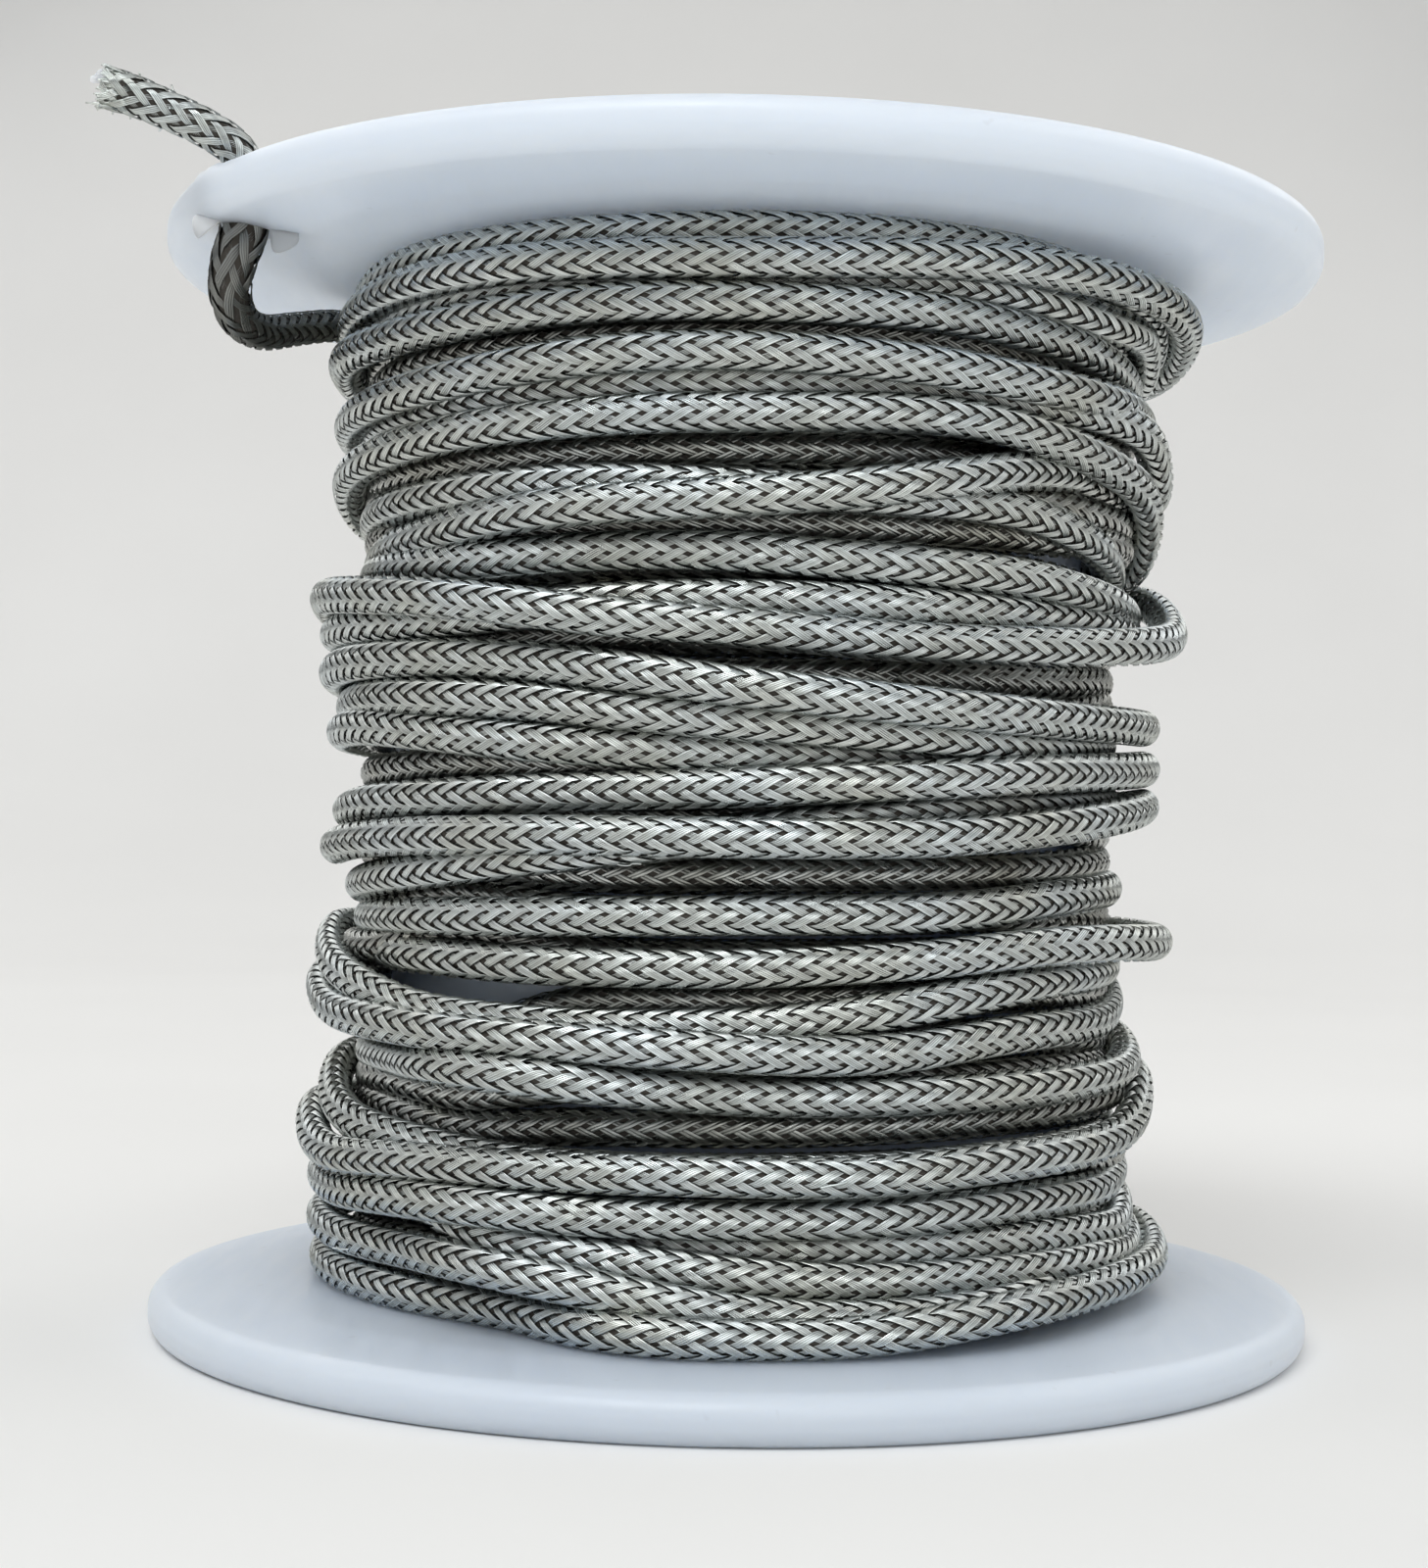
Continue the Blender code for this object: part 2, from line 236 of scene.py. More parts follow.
# Outer turns from the lower flange up. Each is a row of points that its middle passes through in the
# photograph, along the turn. Points before the leftmost one and after the rightmost one are on the far side.
# First comes the turn's place in the order that the turns lie on each other, or its places left and right of
# the front.
TURNS = (
    (29, (314, 1286), (341, 1297), (402, 1318), (464, 1333), (525, 1346), (586, 1355), (700, 1367),
     (785, 1369), (846, 1367), (907, 1362), (960, 1352), (1014, 1339), (1075, 1327), (1136, 1309),
     (1193, 1281), (1160, 1250)),
    (9, (311, 1238), (341, 1254), (402, 1272), (464, 1284), (525, 1297), (586, 1312), (700, 1334),
     (785, 1346), (846, 1349), (960, 1341), (1075, 1312), (1138, 1294)),
    (8, (366, 1165), (402, 1195), (440, 1225), (470, 1250), (494, 1264), (586, 1281), (700, 1297),
     (785, 1306), (846, 1309), (907, 1309), (960, 1305), (1014, 1299), (1075, 1294), (1121, 1283),
     (1150, 1273), (1166, 1262)),
    (7.5, (366, 1190), (464, 1238), (586, 1260), (700, 1270), (819, 1274), (900, 1274), (980, 1271),
     (1060, 1262), (1111, 1256), (1140, 1249), (1157, 1242), (1140, 1224)),
    (28, (312, 1195), (341, 1211), (402, 1220), (464, 1229), (525, 1235), (586, 1241), (700, 1245),
     (785, 1246), (907, 1243), (960, 1236), (1014, 1229), (1075, 1221), (1121, 1211), (1151, 1192)),
    (27, (314, 1131), (300, 1152), (341, 1180), (402, 1183), (464, 1189), (525, 1193), (586, 1197),
     (700, 1199), (785, 1202), (907, 1202), (960, 1195), (1014, 1186), (1075, 1179), (1136, 1162),
     (1178, 1128), (1162, 1100)),
    (26, (347, 1082), (323, 1110), (356, 1140), (402, 1160), (439, 1169), (500, 1184), (600, 1194),
     (700, 1198), (785, 1199), (907, 1197), (1014, 1183), (1100, 1166), (1140, 1150)),
    (25, (363, 1070), (402, 1078), (464, 1088), (525, 1097), (586, 1104), (700, 1116), (785, 1120),
     (846, 1120), (907, 1119), (960, 1117), (1014, 1114), (1075, 1107), (1136, 1094), (1165, 1082),
     (1136, 1055)),
    (24, (320, 993), (311, 1009), (341, 1030), (402, 1045), (464, 1054), (525, 1060), (586, 1063),
     (665, 1069), (730, 1074), (795, 1077), (860, 1079), (925, 1075), (960, 1069), (1014, 1056),
     (1075, 1049), (1121, 1041), (1147, 1024), (1121, 1003)),
    ((23, 21), (345, 942), (320, 968), (374, 1007), (404, 1022), (426, 1033), (478, 1039), (547, 1047),
     (624, 1050), (730, 1049), (795, 1047), (839, 1041), (882, 1036), (907, 1030), (960, 1022), (1014, 1009),
     (1075, 998), (1121, 990), (1144, 985)),
    (22, (369, 963), (467, 978), (540, 985), (754, 989), (960, 979), (1044, 967), (1125, 962), (1198, 962)),
    (20, (360, 935), (548, 935), (754, 934), (960, 932), (1044, 922), (1098, 914), (1146, 906)),
    (7, (351, 903), (387, 895), (441, 887), (521, 876), (647, 862), (754, 850), (861, 838), (937, 829),
     (1044, 824), (1098, 820), (1142, 815)),
    (19, (325, 865), (360, 857), (414, 853), (548, 852), (754, 855), (861, 856), (960, 855), (1044, 847),
     (1125, 836), (1184, 822)),
    (18, (338, 828), (387, 817), (467, 813), (548, 809), (647, 806), (754, 804), (861, 798), (960, 796),
     (1044, 790), (1125, 788), (1185, 785)),
    (4, (376, 740), (467, 750), (548, 758), (628, 763), (754, 768), (861, 773), (960, 778), (1098, 776),
     (1138, 772)),
    (5, (342, 721), (387, 710), (467, 711), (548, 715), (647, 726), (754, 735), (861, 745), (960, 751),
     (1044, 762), (1120, 762), (1140, 760)),
    (17, (324, 686), (360, 676), (414, 671), (467, 670), (548, 674), (628, 683), (754, 701), (861, 713),
     (937, 721), (1044, 731), (1125, 739), (1185, 745)),
    (16, (315, 608), (387, 607), (467, 611), (548, 620), (628, 631), (754, 640), (861, 650), (960, 658),
     (1044, 659), (1125, 662), (1178, 659), (1213, 652), (1160, 608)),
    (3, (325, 648), (360, 640), (430, 634), (548, 622), (647, 612), (754, 611), (861, 615), (960, 621),
     (1044, 630), (1125, 638), (1165, 643)),
    (15, (366, 590), (392, 583), (467, 575), (540, 563), (647, 560), (754, 562), (861, 571), (960, 580),
     (1044, 589), (1098, 605), (1165, 632)),
    (2, (366, 534), (408, 517), (548, 494), (647, 492), (754, 498), (861, 504), (940, 508), (1000, 513),
     (1044, 521), (1098, 548), (1138, 583), (1149, 596)),
    (13, (371, 580), (400, 562), (467, 540), (540, 521), (647, 512), (754, 507), (861, 500), (960, 491),
     (1017, 480), (1071, 481), (1097, 484), (1138, 496)),
    (14, (387, 545), (338, 492), (387, 465), (467, 441), (575, 428), (647, 422), (754, 421), (861, 421),
     (960, 422), (1044, 438), (1125, 473), (1165, 503), (1189, 530), (1150, 592)),
    (9.5, (366, 444), (467, 414), (575, 397), (647, 390), (754, 389), (861, 391), (960, 396), (1010, 402),
     (1048, 411), (1130, 425), (1171, 446), (1199, 481), (1188, 506)),
    (12, (340, 436), (387, 412), (467, 387), (575, 366), (647, 358), (754, 357), (861, 363), (960, 374),
     (1048, 391), (1110, 405), (1150, 418), (1181, 437)),
    (11, (334, 371), (387, 350), (467, 330), (575, 312), (647, 307), (754, 308), (861, 312), (960, 319),
     (1044, 342), (1125, 370), (1167, 400)),
    (9.3, (366, 356), (467, 306), (575, 290), (700, 286), (820, 287), (910, 289), (987, 292), (1050, 303),
     (1100, 320), (1132, 334), (1186, 350), (1168, 376)),
    (10, (343, 334), (387, 304), (467, 278), (575, 266), (647, 263), (754, 264), (861, 264), (960, 263),
     (1044, 271), (1151, 290), (1229, 337), (1173, 393)),
    (1, (360, 305), (387, 286), (467, 258), (655, 238), (754, 236), (861, 238), (960, 246), (1044, 260),
     (1125, 290), (1168, 312), (1195, 340), (1170, 372)),
)


def new_object(name, data):
    """Adds an object to the scene."""
    item = bpy.data.objects.new(name, data)
    bpy.context.scene.collection.objects.link(item)
    return item


def make_camera():
    """Adds the camera and returns its turn, as a matrix."""
    data = bpy.data.cameras.new("camera")
    data.sensor_width = SENSOR
    data.lens = FOCAL / FRAME_SIZE[1] * data.sensor_width
    data.shift_x = (FRAME_SIZE[0] / 2 - MIDDLE[0]) / FRAME_SIZE[1]
    data.shift_y = (MIDDLE[1] - FRAME_SIZE[1] / 2) / FRAME_SIZE[1]
    data.clip_start, data.clip_end = CLIP
    camera = new_object("camera", data)
    turn = Matrix.Rotation(math.pi / 2, 3, "X") @ Matrix.Rotation(math.radians(ROLL_DEG), 3, "Z")
    camera.matrix_world = Matrix.Translation(EYE * MM) @ turn.to_4x4()
    bpy.context.scene.camera = camera
    return np.array(turn)


CAMERA_TURN = make_camera()


def smooth(values, sigma):
    """Gaussian smoothing along a line, with its ends held level."""
    reach = int(4 * sigma)
    weights = np.exp(-0.5 * (np.arange(-reach, reach + 1) / sigma) ** 2)
    padded = np.pad(values, reach, mode="edge")
    return np.convolve(padded, weights / weights.sum(), mode="valid")


def unit(vectors):
    """Vectors of length one in the same directions."""
    return vectors / np.linalg.norm(vectors, axis=-1, keepdims=True)


def widest(values, reach):
    """Largest value within a reach of samples to either side."""
    padded = np.pad(values, reach, mode="edge")
    return np.max(np.lib.stride_tricks.sliding_window_view(padded, 2 * reach + 1), axis=1)


def ease(way):
    """From 0 to 1 with a soft start and a soft end."""
    return way * way * (3 - 2 * way)


def sight(x, y, radius, far):
    """Where the line of sight through a point of the photograph meets a cylinder round the axis.

    Returns angle in degrees, height, and the line's least distance from the axis. A line that misses the
    cylinder gives its point nearest to the axis.
    """
    ray = CAMERA_TURN @ np.array(((x - MIDDLE[0]) / FOCAL, (MIDDLE[1] - y) / FOCAL, -1.0))
    square = ray[0] ** 2 + ray[1] ** 2
    nearest = -(EYE[0] * ray[0] + EYE[1] * ray[1]) / square
    least = math.hypot(EYE[0] + nearest * ray[0], EYE[1] + nearest * ray[1])
    half = math.sqrt(max(0.0, radius**2 - least**2) / square)
    point = EYE + ray * (nearest + half if far else nearest - half)
    angle = math.degrees(math.atan2(point[1], point[0]))
    return (angle - BACK_DEG) % 360.0 + BACK_DEG, point[2], least


def loose(degrees, edges, rest):
    """Radius along a turn that lies at rest, drawn out or in at its edges."""
    for angle, radius in edges:
        bump = np.cos(np.clip((degrees - angle) / EDGE_REACH_DEG, -1, 1) * math.pi / 2) ** 2
        rest = rest + (radius - rest) * bump
    return rest


def read_turn(points, degrees, radii):
    """Angles and heights along a turn, and the angle and radius of its left and right edges.

    radii are the turn's radii round the axis as last laid, or None before it is laid.
    """
    xs = [p[0] for p in points]
    left, right = xs.index(min(xs)), xs.index(max(xs))
    edges = []
    for i in (left, right):
        angle, _, least = sight(*points[i], 0.0, False)
        if least > EDGE_LEAST:
            edges.append((angle, least - BRAID_RADIUS))
    angles, heights = [], []
    for i, (x, y) in enumerate(points):
        far = i < left or i > right
        radius = OUTER_REST
        if far:
            radius = max((r for a, r in edges if (a < FRONT_DEG) == (i < left)), default=OUTER_REST)
        angle, height, _ = sight(x, y, radius, far)
        for _ in range(0 if far else SIGHT_PASSES):
            radius = loose(angle, edges, OUTER_REST) if radii is None else np.interp(angle, degrees, radii)
            angle, height, _ = sight(x, y, radius, False)
        angles.append(angle)
        heights.append(height)
    return angles, heights, edges


def part_at_back(line, grid):
    """Moves the turns apart at the back, so that they lie side by side there."""
    places = np.append(np.arange(0, len(line), PER_TURN), len(line) - 1)
    order = np.argsort(line[places])
    z = line[places][order]
    for _ in range(BACK_PUSHES):
        push = np.maximum(BACK_GAP - np.diff(z), 0.0) / 2
        z[1:] += push
        z[:-1] -= push
        z = np.clip(z, *HEIGHTS)
    angles, shifts = [], []
    for place, shift in sorted(zip(grid[places[order]], z - line[places[order]])):
        angles += [place + a for a in (-BACK_PART_DEG, -BACK_KEEP_DEG, BACK_KEEP_DEG, BACK_PART_DEG)]
        shifts += [0.0, shift, shift, 0.0]
    return line + smooth(np.interp(grid, angles, shifts), BACK_EASE)


def outer_heights(degrees, radii):
    """Height of each outer turn at every degree from the back round the front, and its loose edges."""
    angles, heights, edges = [], [], []
    for number, (_, *points) in enumerate(TURNS):
        a, h, e = read_turn(points, degrees, None if radii is None else radii[number])
        angles += [x + 360.0 * number for x in a]
        heights += h
        edges.append(e)
    grid = BACK_DEG + np.arange(len(TURNS) * PER_TURN) * 360.0 / PER_TURN
    line = smooth(np.interp(grid, angles, heights), HEIGHT_SMOOTHING)
    line = np.clip(part_at_back(line, grid), *HEIGHTS)
    return line.reshape(len(TURNS), PER_TURN), edges


def inner_heights(sunk):
    """Heights of the inner turns, parted where the barrel shows and where an outer turn sinks in."""
    front = np.array(INNER_FRONT)
    grid = np.arange(len(front) * PER_TURN) / PER_TURN
    line = np.interp(grid, np.arange(len(front)) + 0.5, front, left=front[0], right=front[-1])
    line = smooth(line, INNER_SMOOTHING)
    degrees = BACK_DEG + grid % 1.0 * 360.0
    line, degrees = line.reshape(len(front), PER_TURN), degrees[:PER_TURN]
    for angle, height, push, width, reach in (*sunk, BARREL_SHOWS):
        away = np.array([np.interp(angle, degrees, turn) for turn in line]) - height
        side = np.where(away < 0, -1, 1) * push * np.exp(-np.abs(away) / reach)
        line = line + side[:, None] * np.exp(-(((degrees - angle) / width) ** 2))
    return np.clip(line, *HEIGHTS)


def support(z, laid):
    """Radius at each degree of a turn that lies on the turns laid before it."""
    rest = np.full(len(z), INNER_RADIUS)
    for other_z, other_r in laid:
        apart = np.abs(z - other_z[: len(z)])
        over = other_r[: len(z)] + np.sqrt(np.maximum(CONTACT**2 - apart**2, 0.0))
        rest = np.where(apart < CONTACT, np.maximum(rest, over), rest)
    return smooth(widest(rest, REST_REACH), REST_SMOOTHING)


def run_to_free_end(start_height, laid, degrees):
    """The last part turn, from the back round to where the free end leaves the winding."""
    x, y, end_height = LEAD_POINTS[0]
    end_angle, end_radius = math.degrees(math.atan2(y, x)), math.hypot(x, y)
    angles = degrees[degrees < end_angle]
    way = (angles - angles[0]) / (end_angle - angles[0])
    height = start_height + (end_height - start_height) * ease(way)
    radius = support(height, laid)
    late = np.clip(2 * way - 1, 0, 1) ** 2
    return angles, radius + (end_radius - radius) * late, height


def lay_turns(degrees, inner, inner_radii, outer, edges):
    """Radii of the outer turns, laid one on the other and drawn out or in at their edges."""
    radii = np.zeros_like(outer)
    for half in (0, 1):
        part = slice(half * PER_TURN // 2, (half + 1) * PER_TURN // 2)
        laid = [(z[part], r[part]) for z, r in zip(inner, inner_radii)]
        for number in sorted(range(len(TURNS)), key=lambda n: np.ravel(TURNS[n][0])[-half]):
            z = outer[number][part]
            radius = loose(degrees[part], edges[number], support(z, laid))
            radii[number, part] = np.maximum(radius, INNER_RADIUS)
            laid.append((z, radii[number, part]))
    return radii


def lay_winding():
    """Middle lines of the inner and outer turns, as (angle, radius, height) along each line."""
    degrees = BACK_DEG + np.arange(PER_TURN) * 360.0 / PER_TURN
    radii = None
    for _ in range(LAYING_PASSES):
        outer, edges = outer_heights(degrees, radii)
        sunk = []
        for z, ends in zip(outer, edges):
            deep = [a for a, r in ends if r < OUTER_REST - SINK_LEAST]
            sunk += [(a, np.interp(a, degrees, z), *SINK_PART) for a in deep]
        inner = inner_heights(sunk)
        inner_radii = np.full_like(inner, INNER_RADIUS)
        for number, angle, extra in INNER_LOOSE:
            inner_radii[number] = loose(degrees, [(angle, INNER_RADIUS + extra)], inner_radii[number])
        radii = lay_turns(degrees, inner, inner_radii, outer, edges)
    laid = [*zip(inner, inner_radii), *zip(outer, radii)]
    run = run_to_free_end(outer[-1, -1], laid, degrees)
    rise = np.linspace(0, 1, START_RUN_DEG, endpoint=False)
    start = INNER_RADIUS + (radii[0, 0] - INNER_RADIUS) * ease(rise)
    angles = np.concatenate((BACK_DEG + np.arange(-START_RUN_DEG, 0), np.tile(degrees, len(TURNS)), run[0]))
    radius = np.concatenate((start, radii.ravel(), run[1]))
    from_back = (angles - BACK_DEG + 180.0) % 360.0 - 180.0
    blend = np.exp(-((from_back / BACK_WIDTH_DEG) ** 2))
    radius = smooth(radius, RADIUS_SMOOTHING) * (1 - blend) + smooth(radius, BACK_SMOOTHING) * blend
    height = np.concatenate((np.full(START_RUN_DEG, outer[0, 0]), outer.ravel(), run[2]))
    outer_line = (angles, radius, smooth(height, RISE_SMOOTHING))
    inner_line = (np.tile(degrees, len(inner)), inner_radii.ravel(), inner.ravel())
    return inner_line, outer_line


def to_points(line):
    """Points of a line given by angle, radius and height."""
    angle = np.radians(line[0])
    return np.stack((line[1] * np.cos(angle), line[1] * np.sin(angle), line[2]), axis=1)


def smooth_route(points, step):
    """Points about a step apart on a Catmull-Rom curve through the given points."""
    points = [np.array(p) for p in points]
    ends = [2 * points[0] - points[1], *points, 2 * points[-1] - points[-2]]
    route = []
    for a, b, c, d in zip(ends, ends[1:], ends[2:], ends[3:]):
        parts = max(1, round(np.linalg.norm(c - b) / step))
        for t in np.arange(parts) / parts:
            route.append(0.5 * (2 * b + (c - a) * t + (2 * a - 5 * b + 4 * c - d) * t**2
                                + (3 * b - a - 3 * c + d) * t**3))
    return np.array([*route, points[-1]])


class Line:
    """A middle line with its length and the two directions across it."""

    def __init__(self, points, outward):
        along = unit(np.gradient(points, axis=0))
        self.points = points
        self.across = unit(outward - (outward * along).sum(1)[:, None] * along)
        self.beside = np.cross(along, self.across)
        gaps = np.linalg.norm(np.diff(points, axis=0), axis=1)
        self.length = np.concatenate(([0.0], np.cumsum(gaps)))

    def at(self, s):
        """Points and the two directions at distances along the line."""
        found = []
        for values in (self.points, self.across, self.beside):
            found.append(np.stack([np.interp(s, self.length, values[:, k]) for k in range(3)], axis=-1))
        return found

    def around(self, s, turn, radius, flat=(1.0, 1.0)):
        """Points beside the line, at distances along it, turned about it at a radius."""
        middle, out, beside = self.at(s)
        first, second = radius * np.cos(turn) * flat[0], radius * np.sin(turn) * flat[1]
        return middle + first[..., None] * out + second[..., None] * beside


def weave(x):
    """Over and under along a carrier, with a period of four crossings."""
    return np.tanh(STEEPNESS * np.cos((x - 0.5) * math.pi / 2))


def braid_strips(line, t, ridges, twist, rng, radius_at=None, s_at=None, flat=WOUND_FLAT, cover=1.0):
    """Vertices of the sixteen carriers of a braid, as (carrier, along, across, xyz), and how bright each is.

    t counts crossings along the braid. ridges is the number of wires that show in a carrier. The brightness
    holds painted shade in the valleys between wires, at a carrier's edges and where a carrier goes under.
    """
    columns = 2 * ridges + 1
    side = np.linspace(-COVER / 2, COVER / 2, columns)[None, :] * np.reshape(cover, (-1, 1))
    on_wire = np.arange(columns) % 2 == 1
    relief = np.where(on_wire, WIRE_RELIEF, VALLEY_RELIEF)
    relief[[0, -1]] = EDGE_RELIEF
    # Painted shade: darker in the valleys between wires and at a carrier's edges
    hollow_painted_shade = np.where(on_wire, 1.0, VALLEY_PAINTED_SHADE)
    hollow_painted_shade[[0, -1]] = EDGE_PAINTED_SHADE
    strips, tones_and_painted_shade = [], []
    for direction in (1, -1):
        for carrier in range(CARRIERS):
            place = direction * t + 2 * carrier
            over = direction * weave(place)[:, None]
            stretch = np.floor((place + 0.5) / 2)
            worn = 1 - WEAR + WEAR * np.sin(WEAR_SCATTER[0] * stretch + WEAR_SCATTER[1] * carrier)[:, None]
            spread = side * (1.0 + SPREAD * over)
            across = t[:, None] - direction * spread
            s = across * LAY / (2 * CARRIERS) if s_at is None else s_at(across)
            s = np.clip(s, 0.0, line.length[-1])
            turn = (2 * carrier + spread + direction * t[:, None]) * math.pi / CARRIERS + twist(s)
            scale = 1.0 if radius_at is None else radius_at(s)
            r = (MID_RADIUS + WAVE * over) * scale + relief[None, :]
            strips.append(line.around(s, turn, r, flat))
            wire = np.repeat(rng.permutation(np.linspace(DULLEST_TONE, 1.0, ridges)), 2)
            # Painted shade: a carrier darker where it goes under one on top
            under_painted_shade = (1 + UNDER_PAINTED_SHADE) / 2 + (1 - UNDER_PAINTED_SHADE) / 2 * over
            wire_tone_and_painted_shade = np.concatenate((wire, wire[-1:]))[None, :] * under_painted_shade * worn
            tones_and_painted_shade.append(wire_tone_and_painted_shade * hollow_painted_shade[None, :])
    return np.stack(strips), np.stack(tones_and_painted_shade)


def strips_mesh(name, strips, tones_and_painted_shade):
    """A mesh of strips, smooth along the wires and creased between them, with its own map for each strip."""
    bands, rows, columns, _ = strips.shape
    index = np.arange(bands * rows * columns).reshape(bands, rows, columns)
    corners = np.stack((index[:, :-1, :-1], index[:, 1:, :-1], index[:, 1:, 1:], index[:, :-1, 1:]), axis=-1)
    corners[: bands // 2] = corners[: bands // 2, :, :, ::-1]
    faces = corners.reshape(-1, 4)
    mesh = bpy.data.meshes.new(name)
    mesh.vertices.add(index.size)
    mesh.vertices.foreach_set("co", (strips.reshape(-1) * MM).astype(np.float32))
    mesh.loops.add(faces.size)
    mesh.loops.foreach_set("vertex_index", faces.ravel().astype(np.int32))
    mesh.polygons.add(len(faces))
    mesh.polygons.foreach_set("loop_start", np.arange(0, faces.size, 4, dtype=np.int32))
    mesh.update(calc_edges=True)
    mesh.validate()
    pairs = np.zeros(len(mesh.edges) * 2, np.int32)
    mesh.edges.foreach_get("vertices", pairs)
    column = pairs.reshape(-1, 2) % columns
    valley = (column[:, 0] == column[:, 1]) & (column[:, 0] % 2 == 0)
    mesh.attributes.new("sharp_edge", "BOOLEAN", "EDGE").data.foreach_set("value", valley)
    band, row, col = np.unravel_index(faces.ravel(), index.shape)
    place = MAP_MARGIN + (1 - 2 * MAP_MARGIN) * col / (columns - 1)
    uv = np.stack((row / (rows - 1), (band + place) / bands), axis=1)
    mesh.uv_layers.new(name="OFBake").data.foreach_set("uv", uv.ravel().astype(np.float32))
    mesh.attributes.new("tone_and_painted_shade", "FLOAT", "POINT").data.foreach_set("value", tones_and_painted_shade.ravel().astype(np.float32))
    mesh.polygons.foreach_set("use_smooth", np.ones(len(faces), bool))
    return mesh


def tube_rings(middle, first, second, radius, sides):
    """Rings of points round a middle line, in the plane of two directions across it."""
    turn = np.arange(sides) * 2 * math.pi / sides
    across = np.cos(turn)[None, :, None] * first[:, None] + np.sin(turn)[None, :, None] * second[:, None]
    return middle[:, None] + radius * across


def tube_faces(rings, sides, start=0):
    """Faces of a closed tube of rings, whose points are numbered on from start."""
    index = start + np.arange(rings * sides).reshape(rings, sides)
    after = np.roll(index, -1, axis=1)
    faces = np.stack((index[:-1], after[:-1], after[1:], index[1:]), axis=-1).reshape(-1, 4).tolist()
    return faces + [index[0, ::-1].tolist(), index[-1].tolist()]


def smooth_mesh(name, points, faces):
    """A smooth mesh from points in millimetres."""
    mesh = bpy.data.meshes.new(name)
    mesh.from_pydata((np.array(points) * MM).tolist(), [], faces)
    mesh.shade_smooth()
    return mesh


def tube_mesh(name, line, spacing, radius, sides=8, end=None):
    """A closed round tube along a line, with one radius or a radius for each distance along it."""
    end = line.length[-1] if end is None else end
    s = np.linspace(0.0, end, max(2, round(end / spacing)))
    middle, out, beside = line.at(s)
    radius = np.reshape(radius(s) if callable(radius) else radius, (-1, 1, 1))
    rings = tube_rings(middle, out, beside, radius, sides)
    return smooth_mesh(name, rings.reshape(-1, 3), tube_faces(len(s), sides))


def wires_mesh(name, paths):
    """Fine round wires along the given paths, joined in one mesh."""
    points, faces = [], []
    for path in paths:
        along = unit(np.gradient(path, axis=0))
        first = unit(np.cross(along, NO_WIRE))
        rings = tube_rings(path, first, np.cross(along, first), WIRE / 2, WIRE_SIDES)
        faces += tube_faces(len(path), WIRE_SIDES, len(points))
        points += rings.reshape(-1, 3).tolist()
    mesh = smooth_mesh(name, points, faces)
    tone_and_painted_shade = mesh.attributes.new("tone_and_painted_shade", "FLOAT", "POINT")
    tone_and_painted_shade.data.foreach_set("value", np.full(len(points), LOOSE_TONE, np.float32))
    return mesh


def add_piece(mesh, material, replaced):
    """Adds a piece with the name of its mesh, in the place of a CAD node."""
    piece = new_object(mesh.name, mesh)
    mesh.materials.append(material)
    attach(piece, "root")
    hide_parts(replaced)
    return piece


class Nodes:
    """Short ways to add shader nodes to a material or a world."""

    def __init__(self, owner, shader="Principled BSDF"):
        owner.use_nodes = True
        self.owner = owner
        self.tree = owner.node_tree
        self.shader = self.tree.nodes[shader]

    def put(self, socket, source):
        """Links a source to a socket, or sets the socket to a number, a vector or a colour."""
        if isinstance(source, bpy.types.NodeSocket):
            self.tree.links.new(source, socket)
        else:
            socket.default_value = (*source, 1.0) if socket.type == "RGBA" else source

    def add(self, kind, inputs=(), **values):
        node = self.tree.nodes.new("ShaderNode" + kind)
        for key, value in values.items():
            setattr(node, key, value)
        for socket, source in dict(inputs).items():
            self.put(node.inputs[socket], source)
        return node

    def set(self, socket, source):
        self.put(self.shader.inputs[socket], source)

    def position(self):
        return self.add("TexCoord").outputs["Object"]

    def noise(self, scale, detail):
        inputs = {"Vector": self.position(), "Scale": scale, "Detail": detail, "Roughness": 0.55}
        return self.add("TexNoise", inputs).outputs["Fac"]

    def ramp(self, source, stops):
        node = self.add("ValToRGB", {"Fac": source})
        ramp = node.color_ramp
        ramp.elements[0].position, ramp.elements[1].position = stops[0][0], stops[-1][0]
        for place, _ in stops[1:-1]:
            ramp.elements.new(place)
        for element, (_, value) in zip(ramp.elements, stops):
            element.color = (*value, 1.0) if isinstance(value, tuple) else (value, value, value, 1.0)
        return node.outputs["Color"]

    def blend(self, first, second, factor):
        inputs = {0: factor, 6: first, 7: second}
        return self.add("Mix", inputs, data_type="RGBA").outputs[2]


def braid_material(name, bright, dull, edge=1.0):
    """Tinned copper wire, tarnished in patches, and darker between and under the wires as painted shade.

    edge dims its glancing reflections.
    """
    m = Nodes(bpy.data.materials.new(name))
    patches = m.ramp(m.noise(160.0, 4.0), ((0.36, 0.0), (0.68, 1.0)))
    flecks = m.ramp(m.noise(2600.0, 2.0), ((0.40, 0.0), (0.75, 0.22)))
    colour = m.blend(bright, dull, patches)
    worn = m.blend(colour, tuple(FLECK_SHADE * c for c in dull), flecks)
    # The tone attribute darkens toward the dark colour: painted shade between and under wires, with the
    # wires' own tones and wear
    tone_and_painted_shade = m.add("Attribute", attribute_name="tone_and_painted_shade").outputs["Fac"]
    m.set("Base Color", m.blend(BETWEEN_WIRES_PAINTED_SHADE, worn, tone_and_painted_shade))
    m.set("Metallic", 1.0)
    m.set("Specular Tint", (edge, edge, edge))
    m.set("Roughness", m.ramp(m.noise(700.0, 2.0), ((0.3, 0.24), (0.7, 0.40))))
    return m.owner


def hollow_material(name, darker, paler):
    """The dark lining of the braid's unlit inside: painted shade."""
    m = Nodes(bpy.data.materials.new(name))
    m.set("Base Color", m.ramp(m.noise(400.0, 2.0), ((0.3, darker), (0.7, paler))))
    m.set("Roughness", m.ramp(m.noise(900.0, 2.0), ((0.3, 0.75), (0.7, 0.9))))
    m.set("Specular IOR Level", 0.1)
    return m.owner


